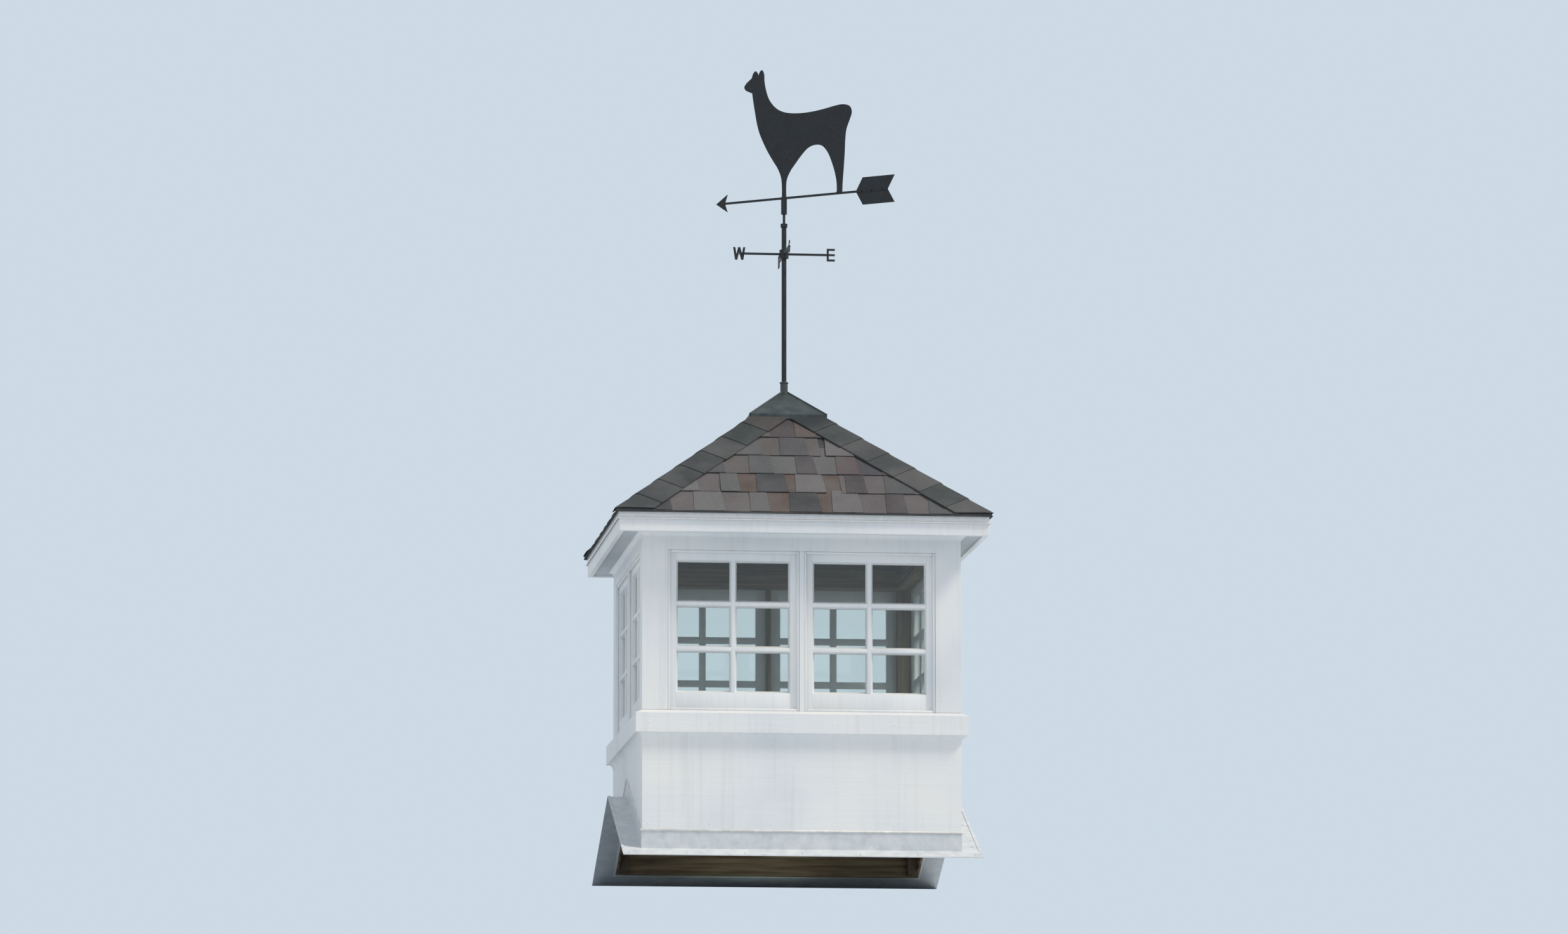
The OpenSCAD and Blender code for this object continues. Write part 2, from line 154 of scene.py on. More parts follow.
def house_paint(name, grain, bare_within=0.0, whites=("#dde1e3", "#e8eaeb", "#eeeeeb"),
                sheen=(0.36, 0.56)):
    """White acrylic paint brushed over primed softwood: a soft sheen, brush marks along the board,
    and a little rain-borne dirt in runs and on ledges. Nearer the middle of the plan than
    bare_within, the timber is bare."""
    finish, tree, place = new_finish(name)
    # Brush hairs are drawn 6 mm apart, coarser than real, so that they show
    hairs = streaks(tree, place, grain, 125, 6, detail=4)
    rings = streaks(tree, place, grain, 500, 25, detail=2)
    patches = add(tree, NOISE, {"Vector": place, "Scale": per_metre(430), "Detail": 4})
    white = add(tree, RAMP, {0: patches}, zip((0.32, 0.5, 0.68), whites))
    # Faint runs of dirt, about 20 mm apart and most of a metre long
    runs = streaks(tree, place, "upright", 625, 20, detail=6)
    dirty = add(tree, RANGE, {"Value": runs, "From Min": 0.52, "From Max": 0.85, "To Max": 0.22})
    # Ledges that face up hold more of it
    facing = add(tree, "ShaderNodeNewGeometry").outputs["Normal"]
    upward = add(tree, "ShaderNodeSeparateXYZ", {0: facing}).outputs["Z"]
    ledge = add(tree, RANGE, {"Value": upward, "From Min": 0.3, "From Max": 0.95, "To Max": 0.3})
    soil = add(tree, MATH, {0: dirty, 1: ledge}, operation="MAXIMUM")
    coat = add(tree, MIX, {0: soil, 6: white, 7: linear("#b4b3a8")}, data_type="RGBA").outputs[2]
    spot = add(tree, "ShaderNodeSeparateXYZ", {0: place}).outputs
    across = add(tree, MATH, {0: spot["X"]}, operation="ABSOLUTE")
    deep = add(tree, MATH, {0: spot["Y"]}, operation="ABSOLUTE")
    out = add(tree, MATH, {0: across, 1: deep}, operation="MAXIMUM")
    inside = add(tree, MATH, {0: out, 1: bare_within}, operation="LESS_THAN")
    # Growth rings of the bare face, about 14 mm apart
    growth = streaks(tree, place, grain, 285, 14, detail=6)
    timber = add(tree, RAMP, {0: growth}, [(0.36, "#675745"), (0.5, "#837159"), (0.64, "#98866c")])
    colour = add(tree, MIX, {0: inside, 6: coat, 7: timber}, data_type="RGBA").outputs[2]
    brushed_sheen = add(tree, RANGE, {"Value": hairs, "From Min": 0.3, "From Max": 0.7,
                                      "To Min": sheen[0], "To Max": sheen[1]})
    dull = add(tree, MIX, {0: inside, 2: brushed_sheen, 3: 0.85})
    relief = add(tree, MATH, {0: rings, 1: 2.0, 2: hairs}, operation="MULTIPLY_ADD")
    bump = add(tree, BUMP, {"Height": relief, "Strength": 0.5, "Distance": 0.0008})
    skin = add(tree, SURFACE, {"Base Color": colour, "Roughness": dull, "Normal": bump, "IOR": 1.47})
    add(tree, OUTPUT, {0: skin})
    return finish


def finish_node(node, finish, edge=0.0):
    """Gives a frame node its finish, and eases its sharp edges by the given radius."""
    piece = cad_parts[node]
    piece.data.materials.clear()
    piece.data.materials.append(finish)
    if edge:
        weld = piece.modifiers.new("one skin", "WELD")
        weld.merge_threshold = SKIN_GAP * edge
        ease = piece.modifiers.new("eased edges", "BEVEL")
        ease.width = edge
        ease.segments = EASE_STEPS
        ease.limit_method = "ANGLE"
        ease.angle_limit = EASED_ABOVE


panel_low, panel_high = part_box("base_panel_front")
WALL = -panel_low.y
BOARD = panel_high.y - panel_low.y
SILL_UNDER = panel_high.z
board_paint = house_paint("white house paint on level boards", "level", WALL - BOARD / 2)
for side in SIDES:
    finish_node(f"base_panel_{side}", board_paint, BOARD_EASE)

# Cleats, rafters and king post: rough-sawn fir, left bare, gone brown with age and drawn darker
# still as painted shade inside. They show from below and dimly through the glass.
ROOF_RISE = 9.25 / 12
HIP_FALL = ROOF_RISE / math.sqrt(2)
CLEAT_EASE = 0.003
WAVE_PERIOD = math.pi / 10      # of a wave texture at a scale of 1


def sawn_fir(name, grain):
    """Softwood off the saw: matt, long grain, saw marks across it, grey-brown ageing and painted
    shade.
    """
    finish, tree, place = new_finish(name)
    if grain == "boards":
        # Each board carries its own lay, so that its grain runs along it
        place = add(tree, "ShaderNodeAttribute", attribute_name="lay").outputs["Vector"]
    if grain == "hips":
        # Rafters fall away from the middle of the plan, and their grain falls with them
        level = add(tree, "ShaderNodeVectorMath", {0: place, 1: (1, 1, 0)}, operation="MULTIPLY")
        reach = add(tree, "ShaderNodeVectorMath", {0: level}, operation="LENGTH").outputs["Value"]
        height = add(tree, "ShaderNodeSeparateXYZ", {0: place}).outputs["Z"]
        depth = add(tree, MATH, {0: reach, 1: HIP_FALL, 2: height}, operation="MULTIPLY_ADD")
        place = add(tree, "ShaderNodeCombineXYZ", {0: reach, 2: depth}).outputs[0]
    lines = streaks(tree, place, "upright" if grain == "upright" else "first", 270, 13, detail=5)
    age_and_shade_cloud = add(tree, NOISE, {"Vector": place, "Scale": per_metre(250), "Detail": 2})
    wood = add(tree, RAMP, {0: lines}, [(0.3, "#665644"), (0.7, "#94816a")])
    # Clouds of grey-brown: ageing, and darker still as painted shade for the dim inside
    aged_and_painted_shade = add(tree, MIX, {0: age_and_shade_cloud, 6: wood, 7: linear("#51483f")}, data_type="RGBA").outputs[2]
    # Marks of the saw, 4 mm apart
    saw = add(tree, "ShaderNodeTexWave",
              {"Vector": place, "Scale": WAVE_PERIOD * per_metre(4), "Distortion": 1.5}).outputs[1]
    rough = add(tree, MATH, {0: lines, 1: saw}, operation="ADD")
    bump = add(tree, BUMP, {"Height": rough, "Strength": 0.4, "Distance": 0.0008})
    skin = add(tree, SURFACE, {"Base Color": aged_and_painted_shade, "Roughness": 0.86, "Normal": bump})
    add(tree, OUTPUT, {0: skin})
    return finish


upright_fir = sawn_fir("sawn fir, upright grain", "upright")
finish_node("base_cleats", upright_fir, CLEAT_EASE)
finish_node("king_post", upright_fir)
finish_node("hip_rafters", sawn_fir("sawn fir rafters", "hips"), BOARD_EASE)

# Flashing: aluminium sheet folded on a brake, weathered to a dull pale grey. Its upstand is
# sealed to the base with a bead of white sealant, tooled with a finger.
BEAD = 0.005
ARC_STEP = 30                   # degrees between the points of a rounded profile


def weathered_aluminium(name):
    """Mill-finish sheet after years outside: a pale chalk of oxide in clouds, and a soft blur of
    shine where it has worn through."""
    finish, tree, place = new_finish(name)
    cloud = add(tree, NOISE,
                {"Vector": place, "Scale": per_metre(45), "Detail": 6, "Roughness": 0.65})
    colour = add(tree, RAMP, {0: cloud}, [(0.3, "#c2c6c9"), (0.5, "#d0d4d6"), (0.7, "#dcdedf")])
    dull = add(tree, RANGE, {"Value": cloud, "From Min": 0.3, "From Max": 0.7,
                             "To Min": 0.6, "To Max": 0.78})
    # The sheet is never quite flat: shallow waves about 140 mm across
    waves = add(tree, NOISE, {"Vector": place, "Scale": per_metre(140), "Detail": 1})
    bump = add(tree, BUMP, {"Height": waves, "Strength": 0.5, "Distance": 0.004})
    skin = add(tree, SURFACE,
               {"Base Color": colour, "Metallic": 0.3, "Roughness": dull, "Normal": bump})
    add(tree, OUTPUT, {0: skin})
    return finish


def sealant(name):
    """White acrylic sealant from a gun: a low sheen, gone slightly grey with dust."""
    finish, tree, place = new_finish(name)
    dust = add(tree, NOISE, {"Vector": place, "Scale": per_metre(33), "Detail": 3})
    colour = add(tree, RAMP, {0: dust}, [(0.35, "#cdcdc8"), (0.65, "#e2e2de")])
    bump = add(tree, BUMP, {"Height": dust, "Strength": 0.4, "Distance": 0.0006})
    skin = add(tree, SURFACE, {"Base Color": colour, "Roughness": 0.5, "Normal": bump})
    add(tree, OUTPUT, {0: skin})
    return finish


def new_piece(name, mesh, finish, body="cupola", slot=None, stands_for=()):
    """A finished piece at the origin that rides on a body."""
    piece = in_scene(name, mesh)
    mesh.name = name
    mesh.materials.clear()
    mesh.materials.append(finish)
    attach(piece, body)
    if stands_for:
        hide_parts(*stands_for)


def swept(work, profile, path, closed=False):
    """Sweeps a closed profile through frames, each of which maps a profile point to a place.
    The ends are capped unless the path closes on itself."""
    rows = [[work.verts.new(at(p)) for p in profile] for at in path]
    for a, b in zip(rows, rows[1:] + rows[:1] if closed else rows[1:]):
        for i in range(len(profile)):
            j = (i + 1) % len(profile)
            work.faces.new((a[i], a[j], b[j], b[i]))
    if not closed:
        work.faces.new(rows[0])
        work.faces.new(rows[-1])


def mesh_of(work, smooth=None, turned=0.0):
    """Turns loose work into a mesh with its faces outwards, turned about the mast, and smooth
    where its faces meet at less than the given angle."""
    bmesh.ops.recalc_face_normals(work, faces=work.faces)
    bmesh.ops.rotate(work, verts=work.verts, cent=(0, 0, 0), matrix=Matrix.Rotation(turned, 3, "Z"))
    mesh = bpy.data.meshes.new("work")
    work.to_mesh(mesh)
    work.free()
    if smooth is not None:
        mesh.shade_smooth()
        mesh.set_sharp_from_angle(angle=math.radians(smooth))
    return mesh


sheet_metal = weathered_aluminium("weathered aluminium sheet")
for side in SIDES:
    finish_node(f"flashing_{side}", sheet_metal)
UPSTAND_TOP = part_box("flashing_front")[1].z
RIDGE_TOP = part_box("flashing_right")[1].z
half_round = [(BEAD * math.cos(a), BEAD * math.sin(a))
              for a in map(math.radians, range(-90, 91, ARC_STEP))]


def bead_frame(x, y, z):
    """A frame for the bead's profile, whose outside faces away from the middle of the plan."""
    out_x = (x > 0) - (x < 0)
    out_y = (y > 0) - (y < 0)
    return lambda p: (x + out_x * p[0], y + out_y * p[0], z + p[1])


# The bead runs level along the front and back, and up and over the fold on the sides
route = [(-WALL, -WALL, UPSTAND_TOP), (WALL, -WALL, UPSTAND_TOP), (WALL, 0, RIDGE_TOP),
         (WALL, WALL, UPSTAND_TOP), (-WALL, WALL, UPSTAND_TOP), (-WALL, 0, RIDGE_TOP)]
work = bmesh.new()
swept(work, half_round, [bead_frame(*r) for r in route], closed=True)
new_piece("sealant_bead", mesh_of(work, smooth=60), sealant("white acrylic sealant"),
          slot="white_paint")

# Sill, corner posts, mullions, headers, fascia, soffit and bed moulding: planed softwood, primed
# and brushed white, nailed up and filled. Edges that stand free are eased with a plane.
CORNERS = ("front_left", "front_right", "back_right", "back_left")
POST_EASE = 0.003
TRIM_EASE = 0.0015
sash_low, sash_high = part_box("sashes_front")
SASH_FACE = -sash_low.y
SASH_BACK = -sash_high.y
level_paint = house_paint("white house paint, level strokes", "level", SASH_BACK)
upright_paint = house_paint("white house paint, upright strokes", "upright", SASH_BACK)
for side, corner in zip(SIDES, CORNERS):
    finish_node(f"sill_{side}", level_paint, BOARD_EASE)
    finish_node(f"corner_post_{corner}", upright_paint, POST_EASE)
    finish_node(f"fascia_{side}", level_paint, BOARD_EASE)
finish_node("mullions", upright_paint, TRIM_EASE)
finish_node("headers", level_paint)
# The soffit's flat paint is drawn grey: painted shade under the eaves
soffit_paint_with_painted_shade = house_paint("flat soffit paint greyed as painted shade", "level", SASH_BACK,
                           ("#b3b9bd", "#bfc4c8", "#c9cdd0"), (0.75, 0.85))
finish_node("soffit_boards", soffit_paint_with_painted_shade, TRIM_EASE)
finish_node("bed_mouldings", level_paint)

# Sashes: two to a side, each with six lights. Stiles run through, rails and glazing bars are
# tenoned between them, and the glass is bedded in putty outside and held by an ovolo inside.
MULLION_HALF = 0.009
SASH_GAP = 0.001
STILE = 0.032
BOTTOM_RAIL = 0.070
TOP_RAIL = 0.036
BAR = 0.012
BAR_INSET = 0.002
PUTTY = 0.0075
PUTTY_LIP = 0.0008
OVOLO_EDGE = 0.003
COLUMNS = 2
ROWS = 3
STOP = 0.010
STOP_EASE = 0.003
EASE = 0.0012
post_low, post_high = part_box("corner_post_front_left")
POST_IN = -post_high.x
SILL_TOP = post_low.z
SOFFIT = post_high.z
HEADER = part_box("headers")[0].z
SASH_FAR = sash_high.x
SASH_TOP = sash_high.z
glass_low, glass_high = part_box("glass_front")
GLASS_FRONT = -glass_low.y
GLASS_BACK = -glass_high.y


def block(work, low, high, ease=EASE):
    """A board from its low corner to its high corner, with eased edges."""
    low, high = Vector(low), Vector(high)
    sized = Matrix.Translation((high + low) / 2) @ Matrix.Diagonal((*(high - low), 1))
    # Made by itself, because faces made after a bevel come in a chance order
    board = bmesh.new()
    bmesh.ops.create_cube(board, matrix=sized)
    bmesh.ops.bevel(board, geom=board.edges[:], offset=ease, segments=EASE_STEPS, profile=0.5,
                    affect="EDGES")
    work.from_mesh(mesh_of(board))


def ring(work, profile, left, right, bottom, top):
    """Runs a profile of [inwards, distance from the middle of the plan] round an opening."""
    corners = ((left, bottom, 1, 1), (right, bottom, -1, 1), (right, top, -1, -1), (left, top, 1, -1))
    swept(work, profile, [lambda p, c=c: (c[0] + c[2] * p[0], -p[1], c[1] + c[3] * p[0])
                          for c in corners], closed=True)


# Putty slopes from the bar's face to the glass. The ovolo is a rounded quarter on the room side.
putty = [(-EASE, SASH_FACE - BAR_INSET), (PUTTY_LIP, SASH_FACE - BAR_INSET),
         (PUTTY, GLASS_FRONT + PUTTY_LIP), (PUTTY, GLASS_FRONT), (-EASE, GLASS_FRONT)]
ovolo_deep = GLASS_BACK - SASH_BACK - BAR_INSET - OVOLO_EDGE
ovolo = [(-EASE, GLASS_BACK), (PUTTY, GLASS_BACK)] + [
    (PUTTY * math.cos(a), GLASS_BACK - OVOLO_EDGE - ovolo_deep * math.sin(a))
    for a in map(math.radians, range(0, 91, ARC_STEP))] + [(-EASE, SASH_BACK + BAR_INSET)]


def glazed_sash(work, hand):
    """One sash on the left (-1) or right (1) half of the front."""
    near = MULLION_HALF + SASH_GAP
    left, right = sorted((hand * near, hand * SASH_FAR))
    for edge in (left, right - STILE):
        block(work, (edge, -SASH_FACE, SILL_TOP), (edge + STILE, -SASH_BACK, SASH_TOP))
    inner_left, inner_right = left + STILE, right - STILE
    bottom, top = SILL_TOP + BOTTOM_RAIL, SASH_TOP - TOP_RAIL
    for z, rise in ((SILL_TOP, BOTTOM_RAIL), (top, TOP_RAIL)):
        block(work, (inner_left, -SASH_FACE, z), (inner_right, -SASH_BACK, z + rise))
    wide = (inner_right - inner_left - (COLUMNS - 1) * BAR) / COLUMNS
    tall = (top - bottom - (ROWS - 1) * BAR) / ROWS
    face, back = SASH_FACE - BAR_INSET, SASH_BACK + BAR_INSET
    for column in range(1, COLUMNS):
        x = inner_left + column * wide + (column - 1) * BAR
        block(work, (x, -face, bottom), (x + BAR, -back, top))
    for row in range(ROWS):
        z = bottom + row * (tall + BAR)
        for column in range(COLUMNS):
            x = inner_left + column * (wide + BAR)
            if row:
                block(work, (x, -face, z - BAR), (x + wide, -back, z))
            for profile in (putty, ovolo):
                ring(work, profile, x, x + wide, z, z + tall)
    # Stop beads hold the sash in its frame, outside
    lip = SASH_FACE + STOP
    for edge in (left - SASH_GAP, right + SASH_GAP - STOP):
        block(work, (edge, -lip, SILL_TOP), (edge + STOP, -SASH_FACE, HEADER), STOP_EASE)
    for z in (SILL_TOP, HEADER - STOP):
        block(work, (left - SASH_GAP + STOP, -lip, z), (right + SASH_GAP - STOP, -SASH_FACE, z + STOP),
              STOP_EASE)


sash_paint = house_paint("white gloss on sashes", "upright")
for i, side in enumerate(SIDES):
    work = bmesh.new()
    for hand in (-1, 1):
        glazed_sash(work, hand)
    made = mesh_of(work, smooth=40, turned=i * math.pi / 2)
    new_piece(f"glazed_sashes_{side}", made, sash_paint, slot="sash_paint",
              stands_for=[f"sashes_{side}"])

# Panes: drawn sheet glass, 4 mm thick, one sheet to a sash, held by its bars from both faces. It
# is clear, with a faint green tint and a slight waviness.


def window_glass(name):
    """Soda-lime sheet glass. Shadow rays pass straight through it, as daylight does."""
    finish, tree, place = new_finish(name)
    # Drawn sheet ripples over about 120 mm
    ripple = add(tree, NOISE, {"Vector": place, "Scale": per_metre(120), "Detail": 1})
    bump = add(tree, BUMP, {"Height": ripple, "Strength": 0.15, "Distance": 0.002})
    pane = add(tree, SURFACE,
               {"Base Color": linear("#f0f6f4"), "Roughness": 0.03, "Transmission Weight": 1.0,
                "IOR": 1.5, "Normal": bump})
    clear = add(tree, "ShaderNodeBsdfTransparent", {0: linear("#dfe9e6")})
    shadow = add(tree, "ShaderNodeLightPath").outputs["Is Shadow Ray"]
    shown = add(tree, "ShaderNodeMixShader", {0: shadow, 1: pane, 2: clear})
    add(tree, OUTPUT, {0: shown})
    return finish


sheet_glass = window_glass("clear sheet glass")
for side in SIDES:
    finish_node(f"glass_{side}", sheet_glass)

# Roof deck: fir boards 140 mm wide, nailed across the hip rafters, with open joints between
# them. They show from below.
PLANK = 0.140
PLANK_GAP = 0.003
DECK_T = 0.012
MAST_ROOM = 0.014
HALF_MITRE = 0.0008
GRAIN_SHIFT = 0.7               # how far each board's grain is moved on from the last one's
PITCH = math.atan(ROOF_RISE)
COS, SIN = math.cos(PITCH), math.sin(PITCH)
deck_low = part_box("roof_deck")[0]
DECK_EDGE = -deck_low.y


def slope_frame(edge, level):
    """From the front slope's own axes (along the eaves, up the slope, square to it) to the
    frame's, where the slope's bottom edge is at this reach and level."""
    return Matrix(((1, 0, 0, 0), (0, COS, -SIN, -edge), (0, SIN, COS, level), (0, 0, 0, 1)))


def slope_board(work, edge, start, end, bottom, top):
    """A board on the front slope, with ends cut to the hips. start and end are distances up it."""
    swept(work, [(start, bottom), (end, bottom), (end, top), (start, top)],
          [lambda p, h=h: (h * (edge - COS * p[0] + SIN * p[1] - HALF_MITRE), *p) for h in (-1, 1)])


work = bmesh.new()
lay = work.verts.layers.float_vector.new("lay")
up = SIN / COS * DECK_T
deck_length = (DECK_EDGE - MAST_ROOM) / COS
board_count = 0
while up < deck_length:
    slope_board(work, DECK_EDGE, up, min(up + PLANK - PLANK_GAP, deck_length), 0, DECK_T)
    board_count += 1
    # The last eight points are this board's own
    work.verts.ensure_lookup_table()
    for vert in work.verts[-8:]:
        vert[lay] = vert.co + Vector((GRAIN_SHIFT * board_count, 0, 0))
    up += PLANK
bmesh.ops.transform(work, matrix=slope_frame(DECK_EDGE, deck_low.z), verts=work.verts)
one_slope = mesh_of(work)
work = bmesh.new()
for i in range(4):
    one_slope.transform(Matrix.Rotation(math.pi / 2, 4, "Z"))
    work.from_mesh(one_slope)
new_piece("deck_boards", mesh_of(work), sawn_fir("sawn fir boards", "boards"),
          slot="deck_timber", stands_for=["roof_deck"])

# Drip edge: white coil-coated aluminium, folded over the deck's edge and kicked out at the bottom
# so that rain falls clear of the fascia.
DRIP_T = 0.001
DRIP_DROP = 0.030
DRIP_KICK = 0.006
DRIP_LAP = 0.010                # how far it laps onto the deck
DRIP_FACE = DECK_EDGE + 0.0015
TURNS = ((-1, -1), (1, -1), (1, 1), (-1, 1))


def coated_aluminium(name):
    """Factory enamel on thin sheet: smooth and slightly glossy, with faint waves between nails."""
    finish, tree, place = new_finish(name)
    waves = add(tree, NOISE, {"Vector": place, "Scale": per_metre(100), "Detail": 1})
    film = add(tree, NOISE, {"Vector": place, "Scale": per_metre(17), "Detail": 3})
    colour = add(tree, RAMP, {0: film}, [(0.35, "#dfe1e1"), (0.65, "#e9eaea")])
    bump = add(tree, BUMP, {"Height": waves, "Strength": 0.4, "Distance": 0.003})
    skin = add(tree, SURFACE, {"Base Color": colour, "Roughness": 0.3, "Normal": bump, "IOR": 1.5})
    add(tree, OUTPUT, {0: skin})
    return finish


deck_edge_top = deck_low.z + DECK_T / COS
drip_top = deck_edge_top + DRIP_T
drip_foot = drip_top - DRIP_DROP
lap_level = deck_edge_top + DRIP_LAP * ROOF_RISE
drip = [(DECK_EDGE - DRIP_LAP, lap_level), (DRIP_FACE, deck_edge_top), (DRIP_FACE, drip_foot),
        (DRIP_FACE + DRIP_KICK, drip_foot - DRIP_KICK),
        (DRIP_FACE + DRIP_KICK + DRIP_T, drip_foot - DRIP_KICK + DRIP_T),
        (DRIP_FACE + DRIP_T, drip_foot + DRIP_T), (DRIP_FACE + DRIP_T, drip_top),
        (DECK_EDGE - DRIP_LAP, lap_level + DRIP_T)]
work = bmesh.new()
swept(work, drip, [lambda p, t=t: (t[0] * p[0], t[1] * p[0], p[1]) for t in TURNS], closed=True)
new_piece("drip_edge", mesh_of(work), coated_aluminium("white coil-coated aluminium"),
          slot="white_paint")

# Shingles: laminated asphalt. Each course is a row of sheets with a second layer of random tabs,
# 143 mm to the weather, in a blend of charcoal, grey and brown.
EXPOSURE = 0.143
SHEET_T = 0.002
UNDERLAY = 0.004
LAP_RISE = UNDERLAY + 2 * SHEET_T
TILT = math.atan(2 * SHEET_T / EXPOSURE)
FIRST_BUTT = 0.010
STARTER_EDGE = 0.004
SHEET_PITCH = 0.331
SHEET_GAPS = (0.0015, 0.002)
SHEET_STEP = 0.15               # how far the joints of each course are moved on from the last
SHEET_START = 0.2               # and from side to side
TAB_PITCH = 0.165
TAB_WIDTHS = (0.070, 0.125)
TAB_SLIDE = 0.018               # how far a tab may lie off its place, each way
TAB_LAP = 0.030                 # how far it runs in under the next course
TAB_RAGGED = 0.010              # how much shorter it may be
TAB_STEP = 0.062
TAB_START = 0.11
TAB_TAPER = 0.16                # share of its width that it loses towards its top
TOP_OPENING = 0.030             # round the mast
SHEET_SEED, TAB_SEED = 11, 40
SEED_STEP = 5                   # from side to side, as a tree takes four seeds in a row
shingle_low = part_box("shingles_front")[0]
EAVE = -shingle_low.y
EAVE_LEVEL = shingle_low.z


def new_tree(name, **sockets):
    """An empty geometry tree with these inputs of each kind, and its group input's sockets."""
    tree = bpy.data.node_groups.new(name, "GeometryNodeTree")
    for kind, labels in sockets.items():
        for label in labels.split():
            tree.interface.new_socket(label, in_out="INPUT", socket_type="NodeSocket" + kind)
    tree.interface.new_socket("Made", in_out="OUTPUT", socket_type="NodeSocketGeometry")
    return tree, add(tree, "NodeGroupInput").outputs


def steps_along(tree, given):
    """Points at each step along the rows that a tree is given."""
    curves = add(tree, "GeometryNodeMeshToCurve", {0: given["Rows"]})
    return add(tree, "GeometryNodeResampleCurve", {"Curve": curves, "Length": given["Spacing"]},
               mode="LENGTH")


# Strips along rows. A random value node's float limits and its seed are its inputs 2, 3 and 8,
# and its float comes out of output 1.
laid, given = new_tree("strips laid in rows", Geometry="Rows",
                       Float="Spacing Slide Narrowest Widest Length Ragged Thickness Tilt "
                             "Taper Fold Crease", Int="Columns Seed", Material="Finish")
seeds = [add(laid, MATH, {0: given["Seed"], 1: float(k)}, operation="ADD") for k in range(4)]
spots = steps_along(laid, given)
back = add(laid, MATH, {0: given["Slide"], 1: -1.0}, operation="MULTIPLY")
slide = add(laid, "FunctionNodeRandomValue", {2: back, 3: given["Slide"], 8: seeds[0]}).outputs[1]
slide_by = add(laid, "ShaderNodeCombineXYZ", {0: slide})
slid = add(laid, "GeometryNodeSetPosition", {0: spots, "Offset": slide_by})
# One strip is a unit slab with its butt edge on the row, narrower at its top by the taper
slab = add(laid, "GeometryNodeMeshCube", {"Size": (1, 1, 1), "Vertices X": given["Columns"]})
spot = add(laid, "ShaderNodeSeparateXYZ", {0: add(laid, "GeometryNodeInputPosition")}).outputs
risen = add(laid, MATH, {0: spot[1], 1: 0.5}, operation="ADD")
thick = add(laid, MATH, {0: spot[2], 1: 0.5}, operation="ADD")
taper = add(laid, MATH, {0: given["Taper"], 1: risen}, operation="MULTIPLY")
narrowing = add(laid, MATH, {0: spot[0], 1: taper}, operation="MULTIPLY")
narrowed = add(laid, MATH, {0: spot[0], 1: narrowing}, operation="SUBTRACT")
shaped = add(laid, "ShaderNodeCombineXYZ", {0: narrowed, 1: risen, 2: thick})
strip = add(laid, "GeometryNodeSetPosition", {0: slab, "Position": shaped})
width = add(laid, "FunctionNodeRandomValue",
            {2: given["Narrowest"], 3: given["Widest"], 8: seeds[1]}).outputs[1]
least = add(laid, MATH, {0: given["Length"], 1: given["Ragged"]}, operation="SUBTRACT")
length = add(laid, "FunctionNodeRandomValue", {2: least, 3: given["Length"], 8: seeds[2]}).outputs[1]
size = add(laid, "ShaderNodeCombineXYZ", {0: width, 1: length, 2: given["Thickness"]})
lean = add(laid, "ShaderNodeCombineXYZ", {0: given["Tilt"]})
turn = add(laid, "FunctionNodeEulerToRotation", {0: lean})
placed = add(laid, "GeometryNodeInstanceOnPoints",
             {"Points": slid, "Instance": strip, "Rotation": turn, "Scale": size})
shade = add(laid, "FunctionNodeRandomValue", {2: 0.0, 3: 1.0, 8: seeds[3]}).outputs[1]
toned = add(laid, "GeometryNodeStoreNamedAttribute", {0: placed, "Name": "tone", "Value": shade},
            data_type="FLOAT", domain="INSTANCE")
whole = add(laid, "GeometryNodeRealizeInstances", {0: toned})
# A hip cap folds over the hip: its sides fall away from a rounded crease
spot = add(laid, "ShaderNodeSeparateXYZ", {0: add(laid, "GeometryNodeInputPosition")}).outputs
crease_squared = add(laid, MATH, {0: given["Crease"], 1: given["Crease"]}, operation="MULTIPLY")
squared = add(laid, MATH, {0: spot[0], 1: spot[0], 2: crease_squared}, operation="MULTIPLY_ADD")
away = add(laid, MATH, {0: squared}, operation="SQRT")
off_crease = add(laid, MATH, {0: given["Crease"], 1: away}, operation="SUBTRACT")
fall = add(laid, MATH, {0: off_crease, 1: given["Fold"]}, operation="MULTIPLY")
fall_by = add(laid, "ShaderNodeCombineXYZ", {2: fall})
folded = add(laid, "GeometryNodeSetPosition", {0: whole, "Offset": fall_by})
painted = add(laid, "GeometryNodeSetMaterial", {0: folded, "Material": given["Finish"]})
add(laid, "NodeGroupOutput", {0: painted})


def grown(name, start, tree, **sizes):
    """The mesh that a tree makes from a start mesh. Inputs that aren't named stay at nought."""
    carrier = in_scene(name, start)
    grow = carrier.modifiers.new("grow", "NODES")
    grow.node_group = tree
    for item in tree.interface.items_tree:
        if item.in_out == "INPUT" and item.name.lower() in sizes:
            grow[item.identifier] = sizes[item.name.lower()]
    ready = carrier.evaluated_get(bpy.context.evaluated_depsgraph_get())
    mesh = bpy.data.meshes.new_from_object(ready)
    carrier.modifiers.remove(grow)
    bpy.data.objects.remove(carrier)
    return mesh


def rows_mesh(rows):
    """A mesh with one edge for each row, from its start to its end."""
    mesh = bpy.data.meshes.new("rows")
    mesh.from_pydata([end for row in rows for end in row], [], [])
    mesh.edges.add(len(rows))
    for i, edge in enumerate(mesh.edges):
        edge.vertices = (2 * i, 2 * i + 1)
    mesh.update()
    return mesh


def trim(work, planes):
    """Cuts off what lies beyond each plane, given as (point, way out), and closes the cut."""
    for point, away in planes:
        cut = bmesh.ops.bisect_plane(work, geom=work.verts[:] + work.edges[:] + work.faces[:],
                                     plane_co=point, plane_no=away, clear_outer=True)["geom_cut"]
        edges = [part for part in cut if isinstance(part, bmesh.types.BMEdge)]
        bmesh.ops.holes_fill(work, edges=edges, sides=0)


